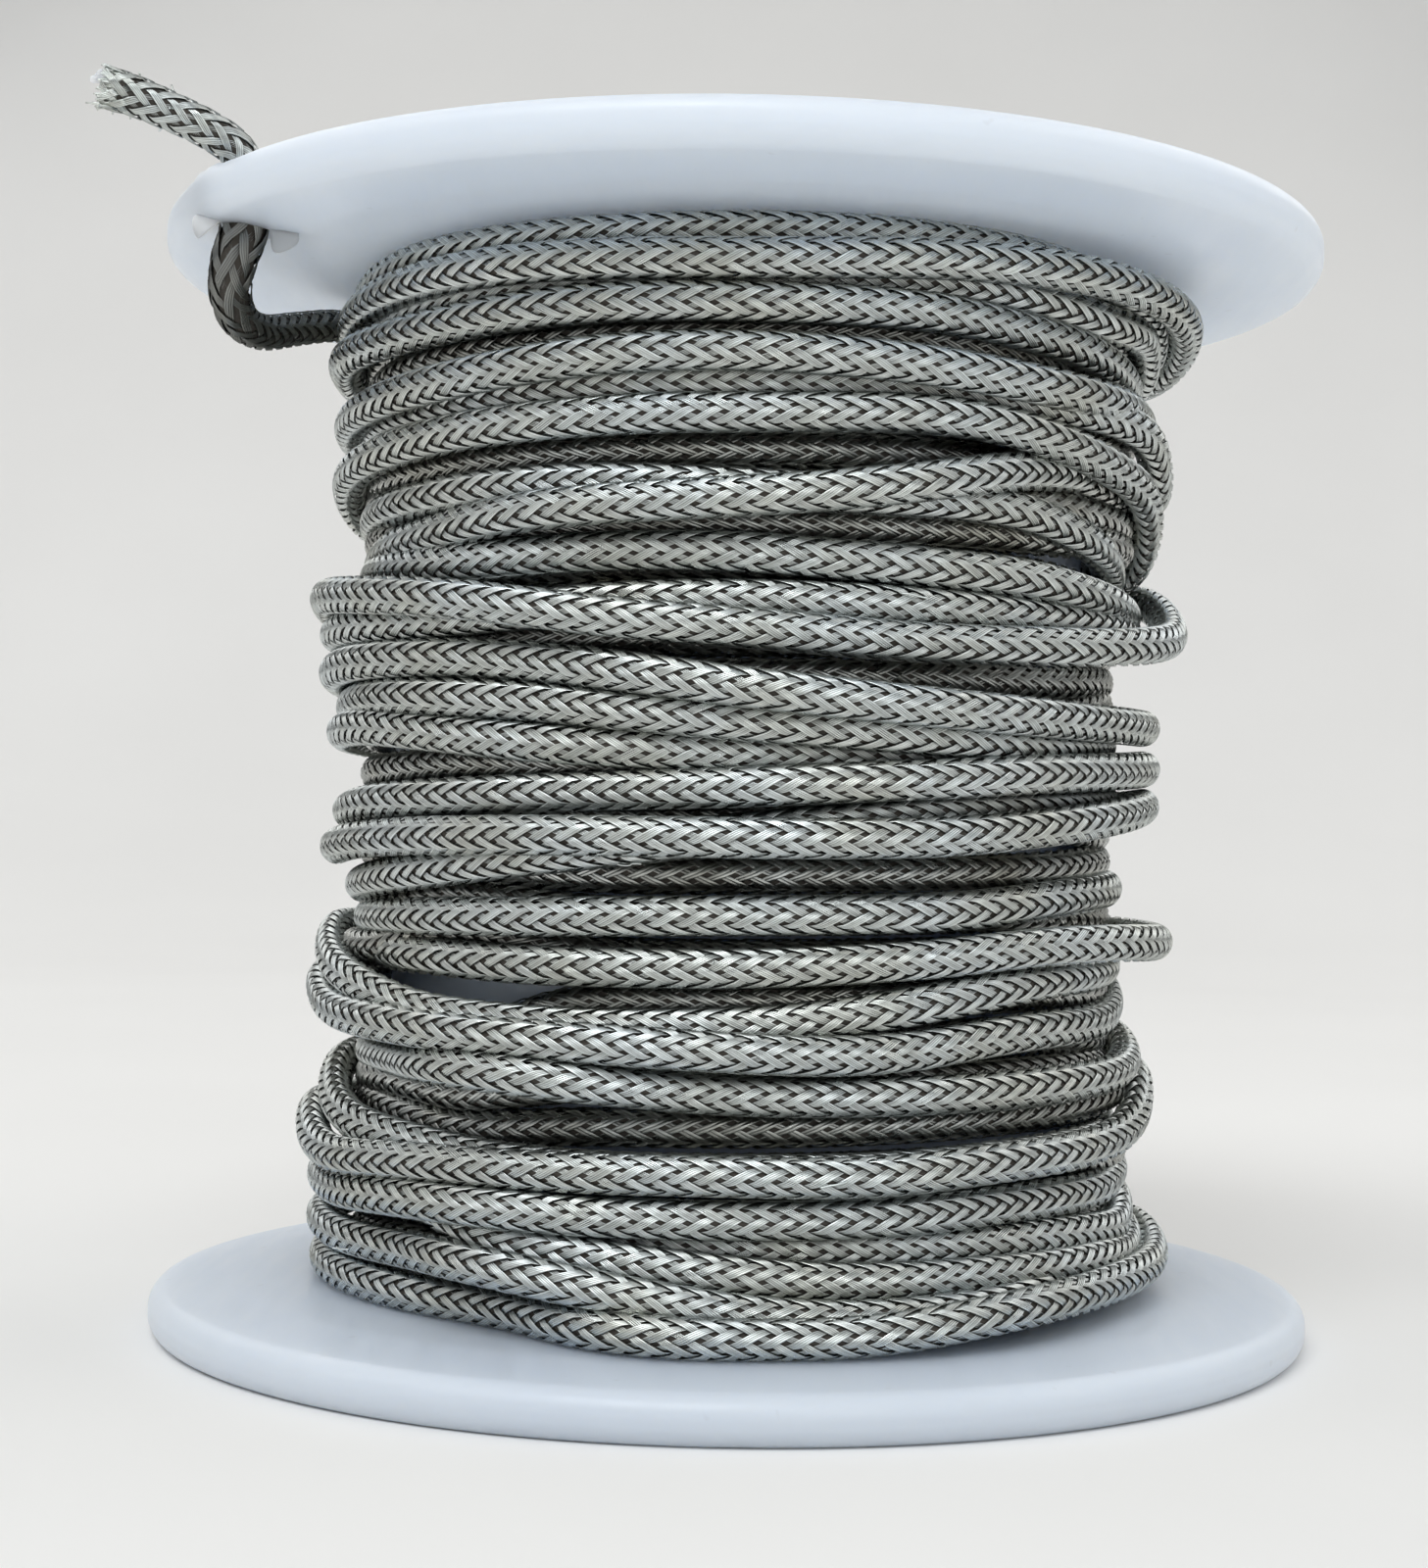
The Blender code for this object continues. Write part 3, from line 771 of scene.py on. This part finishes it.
def stray_wires(line):
    """Paths of single wires that have come out of the braid here and there."""
    rng = np.random.default_rng(23)
    u = np.linspace(0, 1, 14)
    paths = []
    for _ in range(STRAY_WIRES):
        k = rng.integers(PER_TURN, len(line.points) - PER_TURN)
        length = rng.uniform(*STRAY_LENGTH)
        turn = rng.uniform(*STRAY_SIDE) + rng.uniform(*STRAY_TURN) * u
        arch = np.where(u < 0.55, np.sin(u * math.pi), u**2)
        lift = BRAID_RADIUS + STRAY_GAP + rng.uniform(*STRAY_LIFT) * arch
        paths.append(line.around(line.length[k] + u * length * rng.choice((-1, 1)), turn, lift))
    return paths


def make_winding():
    """The inner and the outer turns, in several pieces each, with a dark lining inside them as painted
    shade.
    """
    inner_line, outer_line = lay_winding()
    phases = np.random.default_rng(7).uniform(0, 2 * math.pi, 2)

    def twist(s):
        return sum(a * np.sin(s / b + phase) for (a, b), phase in zip(TWIST_WAVES, phases)) + s / TWIST_RUN

    metal = braid_material("tinned_braid", *TIN)
    # Painted shade: the inner turns get a darker copy of the metal, as they lie under the outer ones
    inner_metal_painted_shade = braid_material("tinned_braid_inner_painted_shade", *INNER_TIN_PAINTED_SHADE)
    # Painted shade: a dark lining for the hollow inside the braid
    hollow_painted_shade = hollow_material("braid_hollow", *HOLLOW_PAINTED_SHADE)
    for label, route, (ridges, start, step, per_piece), material, node in (
        ("outer", outer_line, OUTER_ROWS, metal, "winding_outer_turns"),
        ("inner", inner_line, INNER_ROWS, inner_metal_painted_shade, "winding_core"),
    ):
        points = to_points(route)
        line = Line(points, unit(points * (1.0, 1.0, 0.0)))
        crossings = np.arange(start, line.length[-1] * 2 * CARRIERS / LAY + step, step)
        pieces = math.ceil((len(crossings) - 1) / per_piece)
        for k in range(pieces):
            t = crossings[k * per_piece : (k + 1) * per_piece + 1]
            strips, tones_and_painted_shade = braid_strips(line, t, ridges, twist, np.random.default_rng(11))
            mesh = strips_mesh(f"braid_{label}_{k + 1:02d}", strips, tones_and_painted_shade)
            add_piece(mesh, material, node)
        if label == "outer":
            add_piece(wires_mesh("braid_stray_wires", stray_wires(line)), metal, node)
        # A dark tube inside the turns, painted shade in their hollow
        shade_lining = tube_mesh(f"braid_{label}_hollow", line, LINING_STEP, LINING_RADIUS)
        add_piece(shade_lining, hollow_painted_shade, node)
        print(label, f"{line.length[-1] / 1000:.2f} m", pieces, "pieces")


def make_lead(scrap):
    """The free end: opened where it goes through the hole, and frayed at the cut."""
    route = smooth_route(LEAD_POINTS, LEAD_STEP)
    line = Line(route, np.tile(LEAD_OUTWARD, (len(route), 1)))
    total = line.length[-1]
    s_grid = np.linspace(0.0, total, LEAD_COUNTS)
    rate = 2 * CARRIERS / np.interp(s_grid / total, LEAD_SHARE, LEAD_LAY)
    count = np.concatenate(([0.0], np.cumsum((rate[1:] + rate[:-1]) / 2 * np.diff(s_grid))))

    def s_at(t):
        return np.interp(t, count, s_grid)

    def radius_at(s):
        return np.interp(s / total, LEAD_SHARE, LEAD_WIDTH)

    def twist(s):
        return LEAD_TWIST[0] + LEAD_TWIST[1] * s

    metal = braid_material("tinned_braid_end", *TIN, END_EDGE)
    ridges, start, step, _ = OUTER_ROWS
    t = np.arange(start, count[-1] + step, step)
    share = s_at(t) / total
    rng = np.random.default_rng(5)
    cover = np.interp(share, LEAD_SHARE, LEAD_COVER)
    strips, tones_and_painted_shade = braid_strips(line, t, ridges, twist, rng, radius_at, s_at, (1.0, 1.0), cover)
    # Painted shade: the free end darker where it runs under the flange and into the hole
    tones_and_painted_shade = tones_and_painted_shade * np.interp(share, LEAD_SHARE, LEAD_PAINTED_SHADE)[None, :, None]
    piece = add_piece(strips_mesh("braid_free_end", strips, tones_and_painted_shade), metal, "braid_lead")
    # A dark tube inside the free end, painted shade in its hollow
    shade_lining = tube_mesh(
        "braid_free_end_hollow", line, LEAD_LINING_STEP, lambda s: LEAD_LINING * radius_at(s),
        LEAD_LINING_SIDES, total - LEAD_MOUTH,
    )
    add_piece(shade_lining, hollow_material("braid_end_hollow", *END_HOLLOW_PAINTED_SHADE), "braid_lead")
    frayed = wires_mesh("braid_frayed_wires", frayed_wires(strips, route, rng))
    add_piece(frayed, metal, "braid_lead")
    make_scrap(route[-1], scrap)
    print("lead", round(total, 2), "mm")


def frayed_wires(strips, route, rng):
    """Wires that run on past the cut by different lengths, and a few that stand out beside it."""
    columns = tuple(range(1, 2 * WIRES, 2))
    axis = unit(route[-1] - route[-1 - TIP_STEPS])
    u = np.linspace(0, 1, 6)[:, None]
    paths = []
    for band in strips:
        for column in columns:
            start, end = (band[row, column] for row in FRAY_ROWS)
            way = unit(end - start) * FRAY_WAY[0] + axis * FRAY_WAY[1]
            out = end - route[-1]
            out = unit(out - (out @ axis) * axis)
            length = rng.uniform(*FRAY_LENGTH) + (rng.random() < LONG_SHARE) * rng.uniform(*LONG_LENGTH)
            bend = out * rng.uniform(*FRAY_BEND) + rng.normal(0, FRAY_SCATTER, 3)
            paths.append(np.concatenate((start[None], end + u * length * way + u**2 * length * bend)))
    u = np.linspace(0, 1, 8)[:, None]
    for _ in range(HAIRS):
        band, row, column = rng.integers(2 * CARRIERS), -rng.integers(*HAIR_ROWS), rng.choice(columns)
        start = strips[band, row, column]
        out = HAIR_OUT * unit(start - route[np.argmin(np.linalg.norm(route - start, axis=1))])
        way = HAIR_WAY * unit(strips[band, row + HAIR_SPAN, column] - start)
        length = rng.uniform(*HAIR_LENGTH)
        curl = out + rng.normal(0, HAIR_SCATTER, 3)
        paths.append(start + length * (u * (way + out) + u**2 * curl))
    return paths


def make_scrap(tip, material):
    """A pale scrap caught in the mouth of the cut end."""
    bm = bmesh.new()
    bmesh.ops.create_icosphere(bm, subdivisions=4, radius=1.0)
    rng = np.random.default_rng(9)
    waves = rng.uniform(-1, 1, (SCRAP_WAVES, 3)) * SCRAP_RIPPLE
    phases = rng.uniform(0, 6.28, SCRAP_WAVES)
    for v in bm.verts:
        lump = sum(math.sin(w @ np.array(v.co) + p) for w, p in zip(waves, phases)) / SCRAP_WAVES
        co = np.array(v.co) * (1.0 + SCRAP_LUMP * lump) * SCRAP_SIZE
        v.co = (tip + SCRAP_PLACE + co) * MM
    add_piece(bmesh_to_mesh("tip_scrap", bm), material, "braid_lead")


def bmesh_to_mesh(name, bm):
    """A smooth mesh from a bmesh, which is freed."""
    mesh = bpy.data.meshes.new(name)
    bm.to_mesh(mesh)
    bm.free()
    mesh.shade_smooth()
    return mesh


def plastic_material(name, darker, paler):
    """Satin moulded plastic, a little cloudy, with fine scuffs and a few specks."""
    m = Nodes(bpy.data.materials.new(name))
    colour = m.ramp(m.noise(70.0, 3.0), ((0.3, darker), (0.7, paler)))
    specks = m.ramp(m.noise(900.0, 1.0), ((0.76, 0.0), (0.80, 0.12)))
    m.set("Base Color", m.blend(colour, (0.30, 0.29, 0.28), specks))
    stretch = {"Vector": m.position(), "Scale": (1.0, 0.12, 1.0), "Rotation": (0, 0, 0.6)}
    stretched = m.add("Mapping", stretch).outputs["Vector"]
    scuffs = m.add("TexNoise", {"Vector": stretched, "Scale": 900.0, "Detail": 4.0})
    m.set("Roughness", m.ramp(scuffs.outputs["Fac"], ((0.3, 0.32), (0.7, 0.48))))
    m.set("Subsurface Weight", 0.85)
    m.set("Subsurface Radius", (1.0, 0.95, 0.88))
    m.set("Subsurface Scale", 0.009)
    m.set("Subsurface Anisotropy", 0.7)
    grain = m.noise(2600.0, 3.0)
    bump = m.add("Bump", {"Height": grain, "Strength": 0.12, "Distance": 0.00004})
    m.set("Normal", bump.outputs["Normal"])
    return m.owner


# Arcs of an outline: parts in a large and a small one, and how far past its ends the flat parts start
LARGE_ARC = 0.5
LARGE_ARC_PARTS, SMALL_ARC_PARTS = 10, 4
ARC_MARGIN = 0.06


def rounded(corners):
    """A closed outline with its corners rounded: corners are (x, y, radius)."""
    outline = []
    count = len(corners)
    for i, (x, y, radius) in enumerate(corners):
        here = np.array((x, y))
        to_last = unit(np.array(corners[i - 1][:2]) - here)
        to_next = unit(np.array(corners[(i + 1) % count][:2]) - here)
        half = math.acos(np.clip(to_last @ to_next, -1, 1)) / 2
        back = radius / math.tan(half)
        middle = here + unit(to_last + to_next) * radius / math.sin(half)
        start, end = here + to_last * back, here + to_next * back
        parts = LARGE_ARC_PARTS if radius > LARGE_ARC else SMALL_ARC_PARTS
        outline.append(start + to_last * ARC_MARGIN)
        for t in np.linspace(0, 1, parts + 1):
            outline.append(middle + unit(start + (end - start) * t - middle) * radius)
        outline.append(end + to_next * ARC_MARGIN)
    return np.array(outline)


# Parts of a flange: bore, boss and collar round it, and the recess in its outer face
BORE_RADIUS = 8.0
BOSS_RADIUS = 10.5
BOSS_TOP = 6.85
COLLAR_INNER, COLLAR_OUTER = 14.7, 16.7
COLLAR_TOP = 7.85
RECESS_DEPTH = 0.6
RECESS_RADIUS = 26.75

# Half section of a flange from its outer face at height 0, with the radius of each corner
FLANGE_SECTION = (
    (BORE_RADIUS, 0.0, 0.3), (BOSS_RADIUS, 0.0, 0.15),
    (BOSS_RADIUS + RECESS_DEPTH, RECESS_DEPTH, 0.15), (RECESS_RADIUS - RECESS_DEPTH, RECESS_DEPTH, 0.15),
    (RECESS_RADIUS, 0.0, 0.15), (FLANGE_RADIUS, 0.0, 0.95), (FLANGE_RADIUS, RIM_THICKNESS, 1.1),
    (FLANGE_RADIUS - BORDER_WIDTH, FLANGE_THICKNESS, 9.0), (COLLAR_OUTER, FLANGE_THICKNESS, 0.3),
    (COLLAR_OUTER, COLLAR_TOP, 0.2), (COLLAR_INNER, COLLAR_TOP, 0.2), (COLLAR_INNER, FLANGE_THICKNESS, 0.3),
    (BOSS_RADIUS, FLANGE_THICKNESS, 0.3), (BOSS_RADIUS, BOSS_TOP, 0.2), (BORE_RADIUS, BOSS_TOP, 0.2),
)
FLANGE_SIDES = 288
SHARP_DEG = 40.0

# Raised lip on the upper rim: angle and half width, ripple, height and radius where it starts and how far on
# it is full, and how far it is pushed out
LIP_ANGLE, LIP_WIDTH = 210.5, 3.4
LIP_RIPPLE, LIP_RIPPLE_RATE = 0.3, 2.9
LIP_HEIGHT, LIP_HEIGHT_RUN = 59.0, 0.9
LIP_RADIUS, LIP_RADIUS_RUN = 29.8, 1.2
LIP_PUSH = np.array((-0.10, -0.06, 0.30))

# Punched hole: radius, raggedness, sides, and the heights of the cut's ends from the flange's top
HOLE_RADIUS = 1.42
HOLE_RAGGED = 0.05
HOLE_SIDES = 28
HOLE_CUT = (1.0, -5.0)

# Torn tongues beside the hole: thickness, and rows of points from the root to the tip, in millimetres. Then
# the share of the thickness that is left at the tip
TONGUES = (
    (0.36, (
        ((-27.90, -14.75, 58.05), (-27.20, -15.10, 57.88), (-26.30, -15.20, 57.70)),
        ((-27.95, -15.20, 57.60), (-27.25, -15.60, 57.45), (-26.40, -15.70, 57.40)),
        ((-27.80, -15.60, 57.08), (-27.35, -15.95, 56.95), (-26.75, -16.00, 57.05)),
        ((-27.50, -15.90, 56.52), (-27.40, -16.02, 56.48), (-27.22, -16.08, 56.60)),
    )),
    (0.26, (
        ((-24.05, -14.95, 57.62), (-24.08, -14.70, 57.02), (-24.05, -14.30, 56.22)),
        ((-23.55, -15.00, 57.58), (-23.55, -14.80, 56.98), (-23.60, -14.40, 56.12)),
        ((-23.00, -14.90, 57.50), (-22.98, -14.75, 56.98), (-23.10, -14.45, 56.38)),
        ((-22.62, -14.75, 57.35), (-22.55, -14.65, 56.98), (-22.62, -14.50, 56.66)),
    )),
)
TONGUE_TIP = 0.35


def turned(outline, sides):
    """Vertices and faces of an outline turned about the axis, in millimetres."""
    turn = (np.arange(sides) * 2 * math.pi / sides)[:, None]
    r, z = outline[:, 0], outline[:, 1]
    points = np.stack((np.cos(turn) * r, np.sin(turn) * r, np.tile(z, (sides, 1))), axis=-1)
    index = np.arange(sides * len(r)).reshape(sides, len(r))
    along, round_ = np.roll(index, -1, axis=1), np.roll(index, -1, axis=0)
    faces = np.stack((index, round_, np.roll(round_, -1, axis=1), along), axis=-1).reshape(-1, 4)
    return points.reshape(-1, 3), faces


def cut_hole(piece):
    """Cuts the punched hole, a little ragged, through a flange."""
    radii = HOLE_RADIUS + HOLE_RAGGED * np.random.default_rng(3).standard_normal(HOLE_SIDES)
    turn = np.arange(HOLE_SIDES) * 2 * math.pi / HOLE_SIDES
    ring = np.stack((HOLE[0] + radii * np.cos(turn), HOLE[1] + radii * np.sin(turn)), axis=1)
    points = [(x * MM, y * MM, (SPOOL_HEIGHT + z) * MM) for z in HOLE_CUT for x, y in ring]
    upper, lower = np.arange(2 * HOLE_SIDES).reshape(2, HOLE_SIDES)
    sides = np.stack((upper, lower, np.roll(lower, -1), np.roll(upper, -1)), axis=1)
    mesh = bpy.data.meshes.new("cutter")
    mesh.from_pydata(points, [], [upper.tolist(), lower[::-1].tolist(), *sides.tolist()])
    cutter = new_object("cutter", mesh)
    cut = piece.modifiers.new("hole", "BOOLEAN")
    cut.operation, cut.object, cut.solver = "DIFFERENCE", cutter, "EXACT"
    shape = bpy.data.meshes.new_from_object(piece.evaluated_get(bpy.context.evaluated_depsgraph_get()))
    piece.modifiers.clear()
    bpy.data.objects.remove(cutter)
    return shape


def flap(bm, rows, thickness):
    """A small curled tongue through rows of points, thinning toward its last row."""
    grid = np.array(rows, float)
    count, across, _ = grid.shape
    normal = unit(np.cross(grid[1, 0] - grid[0, 0], grid[0, -1] - grid[0, 0]))
    layers = []
    for side in (0.5, -0.5):
        thin = np.linspace(1.0, TONGUE_TIP, count)[:, None, None] * thickness * side
        layers.append([[bm.verts.new(p * MM) for p in row] for row in grid + thin * normal])
    top, bottom = layers
    for i in range(count - 1):
        for j in range(across - 1):
            bm.faces.new((top[i][j], top[i + 1][j], top[i + 1][j + 1], top[i][j + 1]))
            bm.faces.new((bottom[i][j], bottom[i][j + 1], bottom[i + 1][j + 1], bottom[i + 1][j]))
    loop = [(i, 0) for i in range(count)] + [(count - 1, j) for j in range(1, across)]
    loop += [(i, across - 1) for i in range(count - 2, -1, -1)] + [(0, j) for j in range(across - 2, 0, -1)]
    for (i, j), (m, n) in zip(loop, loop[1:] + loop[:1]):
        bm.faces.new((top[i][j], bottom[i][j], bottom[m][n], top[m][n]))


def make_tongues(white):
    """The two tongues torn out of the flange beside the punched hole, in a paler plastic: painted light."""
    bm = bmesh.new()
    for thickness, rows in TONGUES:
        flap(bm, rows, thickness)
    bmesh.ops.recalc_face_normals(bm, faces=bm.faces)
    piece = add_piece(bmesh_to_mesh("hole_tongues", bm), white, "upper_flange")
    soft = piece.modifiers.new("soft", "SUBSURF")
    soft.levels = soft.render_levels = 2


def lip(shape):
    """How far each point of the upper flange is pushed out to make the lip on its rim."""
    angle = np.degrees(np.arctan2(shape[:, 1], shape[:, 0])) % 360.0
    ripple = 1 - LIP_RIPPLE + LIP_RIPPLE * np.sin(angle * LIP_RIPPLE_RATE)
    along = np.exp(-(((angle - LIP_ANGLE) / LIP_WIDTH) ** 2)) * ripple
    high = np.clip((shape[:, 2] - LIP_HEIGHT) / LIP_HEIGHT_RUN, 0, 1)
    far_out = np.clip((np.hypot(shape[:, 0], shape[:, 1]) - LIP_RADIUS) / LIP_RADIUS_RUN, 0, 1)
    return (along * high * far_out)[:, None] * LIP_PUSH


def make_flanges(white):
    """Both flanges, the upper one turned over, with its lip and its hole."""
    points, faces = turned(rounded(FLANGE_SECTION), FLANGE_SIDES)
    over = points * (1.0, -1.0, -1.0) + (0.0, 0.0, SPOOL_HEIGHT)
    for name, shape in (("lower_flange", points), ("upper_flange", over + lip(over))):
        mesh = smooth_mesh(f"moulded_{name}", shape, faces.tolist())
        piece = add_piece(mesh, white, name)
        if name == "upper_flange":
            piece.data = cut_hole(piece)
        piece.data.set_sharp_from_angle(angle=math.radians(SHARP_DEG))


# Floor and the sweep behind it, in metres: front edge, where the sweep starts, its radius and parts, top and
# half width, and colours
FLOOR_FRONT = -1.6
SWEEP_START = 0.35
SWEEP_RADIUS = 0.5
SWEEP_PARTS = 12
SWEEP_TOP = 2.2
SWEEP_HALF_WIDTH = 2.4
FLOOR_COLOURS = ((0.86, 0.845, 0.82), (0.89, 0.875, 0.85))

# Sky: colours from level to above, and strength
SKY = ((0.0, (0.86, 0.88, 0.90)), (0.8, (0.90, 0.95, 1.0)))
SKY_STRENGTH = 0.37

# Lights: the point they face, and for each its name, place and size in metres, watts and colour
LIT_POINT = (0.0, 0.0, 0.03)
COOL, WARM, PLAIN = (0.96, 0.985, 1.0), (1.0, 0.97, 0.93), (1.0, 1.0, 1.0)
LIGHTS = (
    ("key", (-0.18, -0.52, 0.68), (0.55, 0.40), 3.3, COOL),
    ("fill", (0.30, -0.66, 0.32), (0.45, 0.35), 0.8, COOL),
    ("side_left", (-0.62, -0.12, 0.58), (0.45, 0.45), 0.8, WARM),
    ("side_right", (0.62, -0.12, 0.58), (0.45, 0.45), 0.9, WARM),
    ("back_left", (-0.40, 0.45, 0.55), (0.50, 0.50), 0.9, PLAIN),
    ("back_right", (0.45, 0.40, 0.50), (0.50, 0.50), 0.9, PLAIN),
)


def make_stage():
    """A pale floor that sweeps up behind the object."""
    profile = [(FLOOR_FRONT, 0.0), (SWEEP_START, 0.0)]
    for k in range(1, SWEEP_PARTS + 1):
        a = math.radians(90 * k / SWEEP_PARTS)
        profile.append((SWEEP_START + SWEEP_RADIUS * math.sin(a), SWEEP_RADIUS - SWEEP_RADIUS * math.cos(a)))
    profile.append((SWEEP_START + SWEEP_RADIUS, SWEEP_TOP))
    bm = bmesh.new()
    rows = [[bm.verts.new((x, y, z)) for x in (-SWEEP_HALF_WIDTH, SWEEP_HALF_WIDTH)] for y, z in profile]
    for a, b in zip(rows, rows[1:]):
        bm.faces.new((a[0], a[1], b[1], b[0]))
    mesh = bmesh_to_mesh("sweep", bm)
    sweep = new_object("sweep", mesh)
    m = Nodes(bpy.data.materials.new("sweep"))
    m.set("Base Color", m.ramp(m.noise(9.0, 2.0), ((0.3, FLOOR_COLOURS[0]), (0.7, FLOOR_COLOURS[1]))))
    m.set("Roughness", 0.8)
    mesh.materials.append(m.owner)


def make_sky():
    """A pale sky, a little brighter and bluer above."""
    m = Nodes(bpy.data.worlds.new("studio"), "Background")
    direction = m.add("TexCoord").outputs["Generated"]
    height = m.add("SeparateXYZ", {"Vector": direction}).outputs["Z"]
    m.set("Color", m.ramp(height, SKY))
    m.set("Strength", SKY_STRENGTH)
    bpy.context.scene.world = m.owner


def make_lights():
    """Soft lamps all round, which aren't seen themselves."""
    for name, place, size, power, colour in LIGHTS:
        data = bpy.data.lights.new(name, "AREA")
        data.shape = "RECTANGLE"
        data.size, data.size_y = size
        data.energy = power
        data.color = colour
        light = new_object(name, data)
        light.location = place
        light.visible_camera = False
        light.rotation_euler = (Vector(LIT_POINT) - Vector(place)).to_track_quat("-Z", "Y").to_euler()


white = plastic_material("white_plastic", (0.61, 0.68, 0.79), (0.65, 0.72, 0.82))
# A paler copy of the white plastic for the tongues: painted light that makes them look lit
tongue_painted_light = plastic_material("tongue_plastic_painted_light", (0.86, 0.92, 0.98), (0.90, 0.95, 1.0))
make_winding()
make_lead(white)
make_flanges(white)
make_tongues(tongue_painted_light)
NODES["barrel"].data.materials.clear()
NODES["barrel"].data.materials.append(white)
make_stage()
make_sky()
make_lights()
bpy.context.scene.view_settings.view_transform = "Standard"
